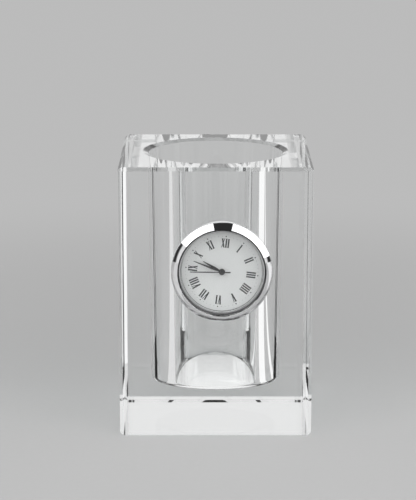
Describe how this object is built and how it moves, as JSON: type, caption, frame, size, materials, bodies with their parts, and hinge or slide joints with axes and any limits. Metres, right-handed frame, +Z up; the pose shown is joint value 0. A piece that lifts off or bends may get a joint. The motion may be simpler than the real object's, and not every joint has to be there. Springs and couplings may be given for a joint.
{
  "type": "pen holder clock",
  "caption": "Clear glass desk block with a round pen cup in the top and a round quartz clock set in its face.",
  "frame": {"origin": "centre of the block's underside", "axes": "+Z up, the clock faces -Y, +X to the right of someone who reads the clock"},
  "size_m": [0.07, 0.073, 0.1],
  "materials": {
    "crystal": "clear, polished",
    "lens_clear": "clear, polished",
    "chrome": "mirror polished",
    "case_metal": "satin",
    "back_metal": "brushed",
    "rubber": "matte",
    "dial_white": "satin white",
    "hand_black": "satin black",
    "ring_plastic": "moulded",
    "brass": "satin",
    "steel": "satin",
    "cell_steel": "polished",
    "copper": "enamelled copper wire",
    "board_green": "solder mask",
    "resin_black": "moulded resin"
  },
  "bodies": {
    "block": {"crystal_block": "crystal"},
    "grip_ring": {"gasket": "rubber"},
    "insert": {"case": "case_metal", "case_back": "back_metal", "bezel": "chrome", "lens": "lens_clear", "dial_flange": "chrome", "dial": "dial_white", "movement_ring": "ring_plastic", "main_plate": "brass", "train_bridge": "brass", "stator": "steel", "coil_core": "steel", "coil": "copper", "battery": "cell_steel", "battery_contact": "chrome", "battery_strap": "chrome", "circuit_board": "board_green", "chip": "resin_black", "quartz_can": "chrome", "bridge_screw_left": "steel", "bridge_screw_right": "steel", "bridge_screw_inner": "steel", "coil_screw_left": "steel", "coil_screw_right": "steel", "board_screw": "steel", "strap_screw": "steel"},
    "seconds": {"seconds_wheel": "brass", "second_hand": "hand_black"},
    "minutes": {"centre_wheel": "brass", "minute_hand": "hand_black"},
    "hours": {"hour_wheel": "brass", "hour_hand": "hand_black"},
    "third": {"third_wheel": "brass"},
    "intermediate": {"intermediate_wheel": "brass"},
    "rotor": {"motor_rotor": "steel"},
    "motion_work": {"minute_wheel": "brass"},
    "yoke": {"setting_yoke": "steel"},
    "stem": {"setting_stem": "steel", "crown": "chrome"}
  },
  "joints": [
    {"name": "insert_slide", "type": "slide", "parent": "block", "child": "grip_ring", "axis": [0, -1, 0], "range_m": [0, 0.012]},
    {"name": "insert_turn", "type": "hinge", "parent": "grip_ring", "child": "insert", "pos_m": [0.0022, -0.035, 0.06215], "axis": [0, 1, 0], "continuous": true},
    {"name": "seconds_turn", "type": "hinge", "parent": "insert", "child": "seconds", "pos_m": [0.0022, -0.035, 0.06215], "axis": [0, 1, 0], "continuous": true},
    {"name": "minutes_turn", "type": "hinge", "parent": "insert", "child": "minutes", "pos_m": [0.0022, -0.035, 0.06215], "axis": [0, 1, 0], "continuous": true},
    {"name": "hours_turn", "type": "hinge", "parent": "insert", "child": "hours", "pos_m": [0.0022, -0.035, 0.06215], "axis": [0, 1, 0], "continuous": true},
    {"name": "third_turn", "type": "hinge", "parent": "insert", "child": "third", "pos_m": [-0.00072, -0.035, 0.05941], "axis": [0, 1, 0], "continuous": true},
    {"name": "intermediate_turn", "type": "hinge", "parent": "insert", "child": "intermediate", "pos_m": [0.00315, -0.035, 0.05811], "axis": [0, 1, 0], "continuous": true},
    {"name": "rotor_turn", "type": "hinge", "parent": "insert", "child": "rotor", "pos_m": [0.00417, -0.035, 0.05572], "axis": [0, 1, 0], "continuous": true},
    {"name": "motion_work_turn", "type": "hinge", "parent": "insert", "child": "motion_work", "pos_m": [0.00508, -0.035, 0.06181], "axis": [0, 1, 0], "continuous": true},
    {"name": "crown_pull", "type": "slide", "parent": "insert", "child": "yoke", "axis": [0.993, 0, -0.1184], "range_m": [0, 0.0006]},
    {"name": "crown_turn", "type": "hinge", "parent": "yoke", "child": "stem", "pos_m": [0.0022, -0.0324, 0.06215], "axis": [0.993, 0, -0.1184], "continuous": true}
  ],
  "couplings": [
    {"joint": "minutes_turn", "follows": "seconds_turn", "ratio": 0.016667},
    {"joint": "hours_turn", "follows": "seconds_turn", "ratio": 0.0013889},
    {"joint": "third_turn", "follows": "seconds_turn", "ratio": -0.13333},
    {"joint": "intermediate_turn", "follows": "seconds_turn", "ratio": -5},
    {"joint": "rotor_turn", "follows": "seconds_turn", "ratio": 30},
    {"joint": "motion_work_turn", "follows": "seconds_turn", "ratio": -0.0055556}
  ]
}
